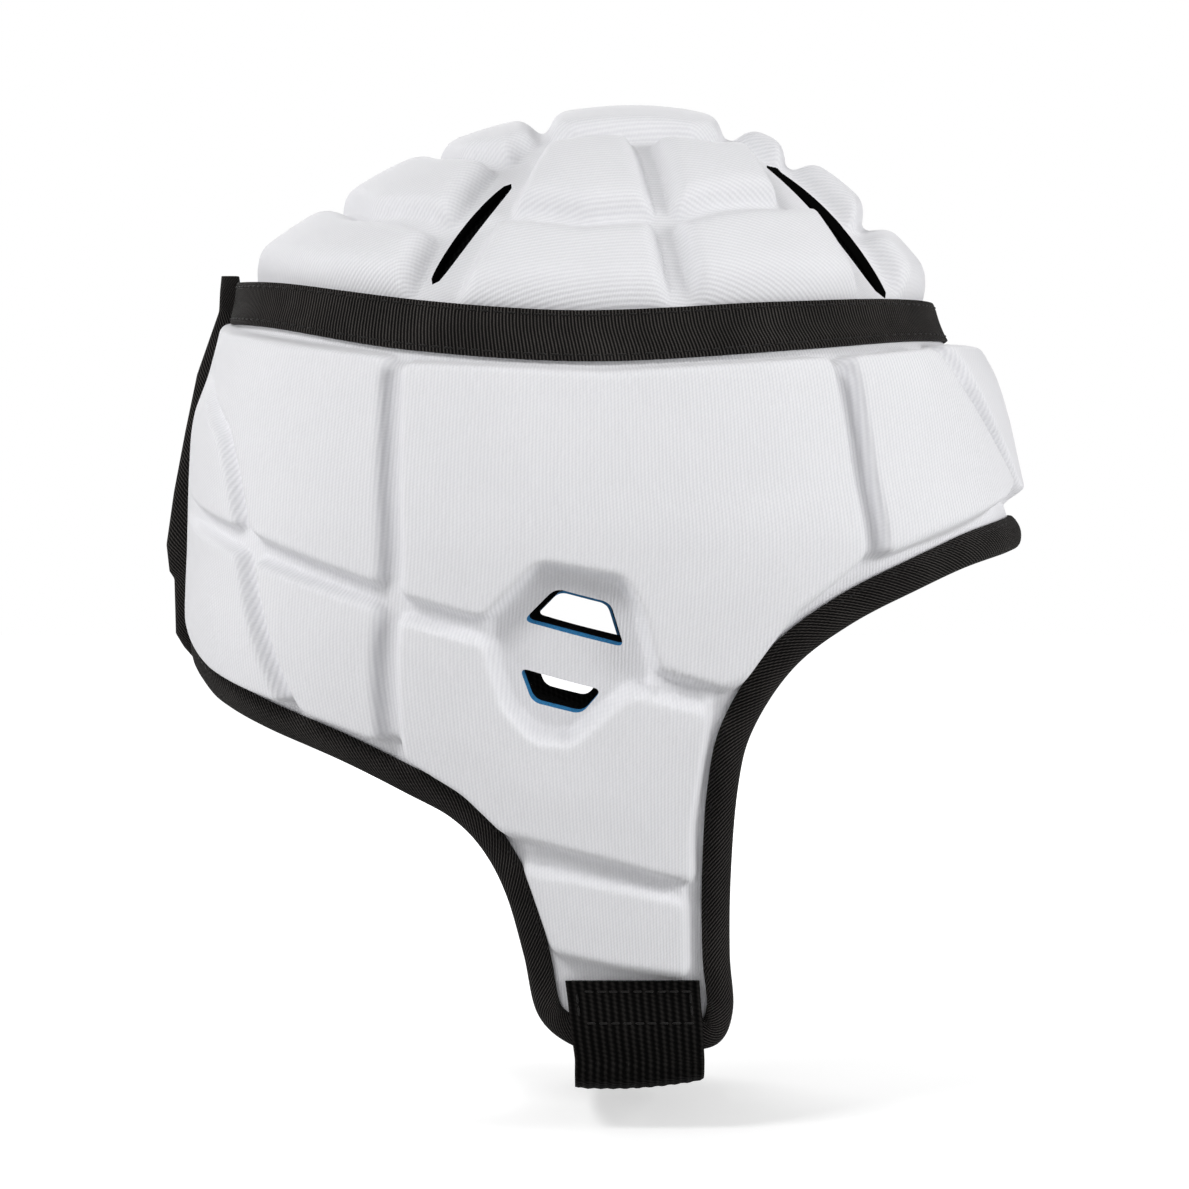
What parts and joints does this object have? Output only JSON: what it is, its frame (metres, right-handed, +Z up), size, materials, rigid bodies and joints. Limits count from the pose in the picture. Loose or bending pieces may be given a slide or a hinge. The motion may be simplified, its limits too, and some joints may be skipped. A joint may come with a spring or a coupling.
{
  "type": "soft shell football helmet",
  "caption": "Padded soft helmet for flag football with quilted crown and wall, ear vents, jaw flaps, taped seams and a webbing chin strap.",
  "frame": {"origin": "where the top of the head meets the lining of the crown, on the middle plane", "axes": "+X the way the wearer faces, +Y the wearer's left, +Z up"},
  "size_m": [0.226, 0.1774, 0.2564],
  "materials": {
    "shell_knit": "fine ribbed white knit over moulded foam pads, slight sheen",
    "lining": "matte black mesh knit",
    "grosgrain": "black grosgrain tape with fine cross ribs and edge stitching",
    "twill": "black twill binding tape, folded",
    "webbing": "black ribbed webbing"
  },
  "bodies": {
    "root": {"crown": "shell_knit", "wall": "shell_knit", "crown_lining": "lining", "wall_lining": "lining", "crown_band": "grosgrain", "edge_binding": "twill", "rear_binding": "twill", "chin_strap": "webbing"}
  },
  "joints": []
}
